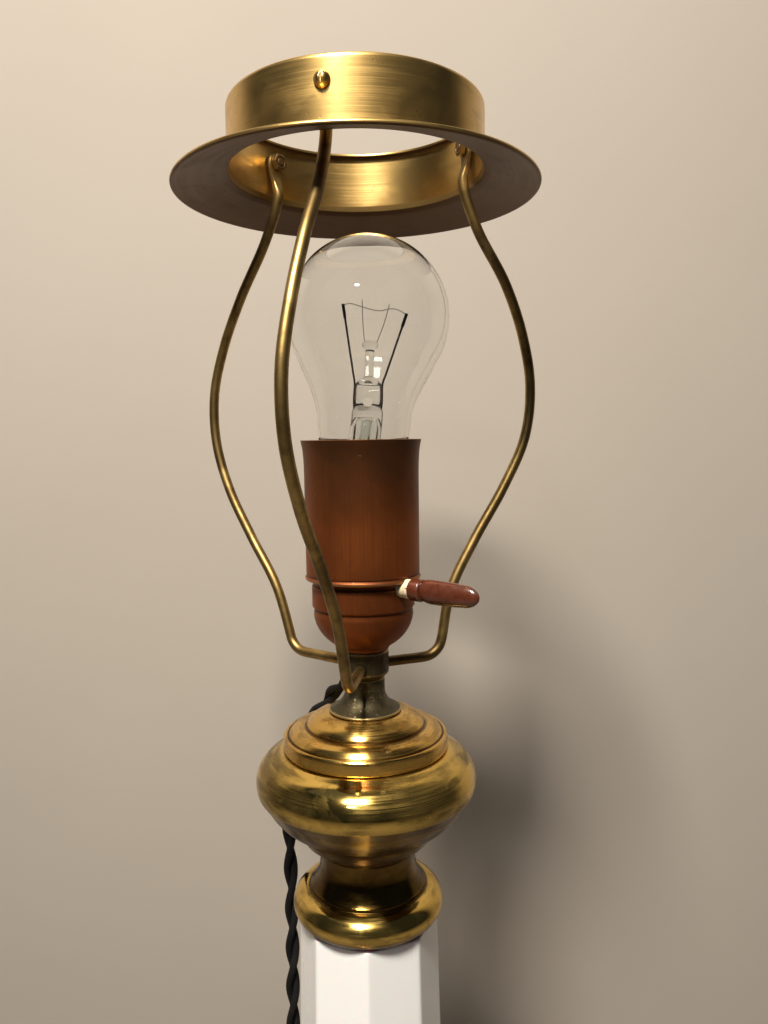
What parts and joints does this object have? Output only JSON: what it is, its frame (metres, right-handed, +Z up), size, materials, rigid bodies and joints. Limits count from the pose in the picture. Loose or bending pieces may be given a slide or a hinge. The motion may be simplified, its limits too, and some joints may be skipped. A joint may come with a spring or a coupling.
{
  "type": "table lamp",
  "caption": "Brass table lamp without its shade: octagonal white column, brass vase, key lampholder with clear bulb, three-armed shade gallery and twisted flex.",
  "frame": {"origin": "centre of the felt under the foot, on the table", "axes": "+Z up the stem, -Y the front, where a corner of the column and the front arm face; the switch key points to +X and -Y"},
  "size_m": [0.1819, 0.2597, 0.5449],
  "materials": {
    "satin_brass": "aged satin brass",
    "dark_brass": "dark tarnished brass",
    "polished_brass": "polished brass, worn and scratched",
    "copper": "copper-brown satin lacquer over brass",
    "steel": "plain steel",
    "cast_iron": "rough casting",
    "nickel": "dull nickel plate",
    "bakelite": "glossy red-brown bakelite",
    "porcelain": "cream glaze",
    "opal_white": "glossy white",
    "clear_glass": "clear blown glass",
    "black_glass": "black vitreous glass",
    "fibre": "brown insulating fibre",
    "black_braid": "black textile braid, twisted pair",
    "black_plastic": "black moulded plastic",
    "felt": "dark green felt"
  },
  "bodies": {
    "lamp": {"arm_front": "satin_brass", "arm_right": "satin_brass", "arm_left": "satin_brass", "gallery_ring": "satin_brass", "vase_cover": "satin_brass", "gallery_screw_1": "satin_brass", "gallery_screw_2": "satin_brass", "gallery_screw_3": "satin_brass", "gallery_nut_1": "satin_brass", "gallery_nut_2": "satin_brass", "gallery_nut_3": "satin_brass", "terminal_screw_1": "satin_brass", "terminal_screw_2": "satin_brass", "contact_spring": "satin_brass", "arm_hub": "dark_brass", "cord_outlet_neck": "dark_brass", "column_cap": "polished_brass", "vase_body": "polished_brass", "base_cup": "polished_brass", "foot": "polished_brass", "lampholder_shell": "copper", "lampholder_cap": "copper", "threaded_nipple": "steel", "nipple_nut": "steel", "tie_rod": "steel", "base_washer": "steel", "base_nut": "steel", "base_weight": "cast_iron", "screw_shell": "nickel", "plug_pin_1": "nickel", "plug_pin_2": "nickel", "porcelain_insert": "porcelain", "switch_bush": "porcelain", "column": "opal_white", "insulating_sleeve": "fibre", "core_wire_1": "fibre", "cord_run": "black_braid", "cord_coil": "black_braid", "cord_tail": "black_braid", "plug_body": "black_plastic", "cord_bush": "black_plastic", "core_wire_2": "black_plastic", "felt_pad": "felt", "cord_tie": "felt"},
    "bulb": {"bulb_glass": "clear_glass", "bulb_stem": "clear_glass", "bulb_lead_1": "nickel", "bulb_lead_2": "nickel", "filament_support_1": "steel", "filament_support_2": "steel", "bulb_filament": "steel", "bulb_cap": "nickel", "bulb_insulator": "black_glass", "bulb_contact": "nickel"},
    "switch": {"switch_key": "bakelite", "switch_rotor": "fibre"}
  },
  "joints": [
    {"name": "bulb_lift", "type": "slide", "parent": "lamp", "child": "bulb", "axis": [0, 0, 1], "range_m": [0, 0.2]},
    {"name": "switch_key_turn", "type": "hinge", "parent": "lamp", "child": "switch", "pos_m": [0, 0, 0.373], "axis": [0.766, -0.6428, 0], "continuous": true}
  ]
}
